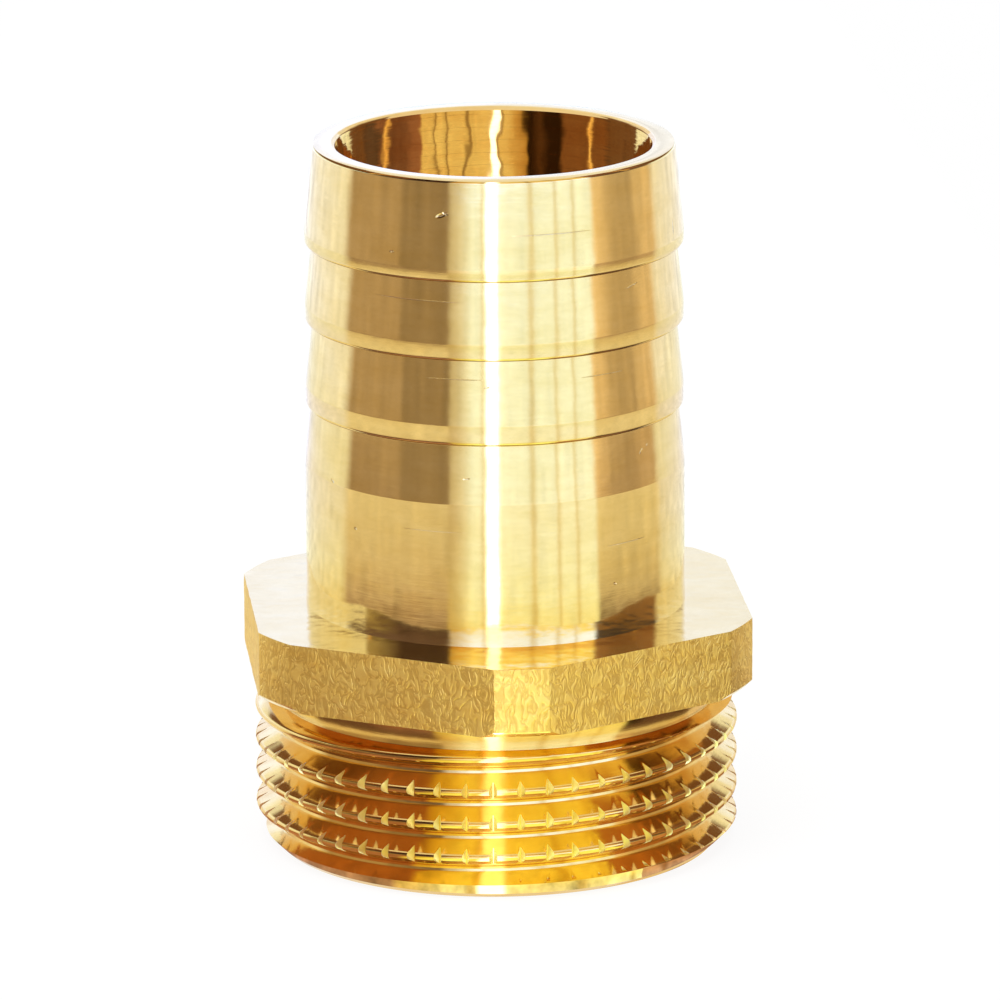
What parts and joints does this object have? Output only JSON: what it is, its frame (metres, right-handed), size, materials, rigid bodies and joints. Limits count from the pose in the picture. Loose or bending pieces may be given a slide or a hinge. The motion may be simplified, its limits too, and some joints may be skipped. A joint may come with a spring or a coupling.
{
  "type": "hose barb tail",
  "caption": "Brass hose tail with a barbed hose end, a hexagonal collar and a serrated male pipe thread, open right through.",
  "frame": {"origin": "centre of the threaded end face, which the part stands on", "axes": "+Z along the bore towards the hose end, two corners of the collar on +Y and -Y, two flats facing +X and -X"},
  "size_m": [0.0338, 0.037, 0.049],
  "materials": {
    "brass": "turned bright, with as-forged collar flats"
  },
  "bodies": {
    "root": {"hose_barb_tail": "brass"}
  },
  "joints": []
}
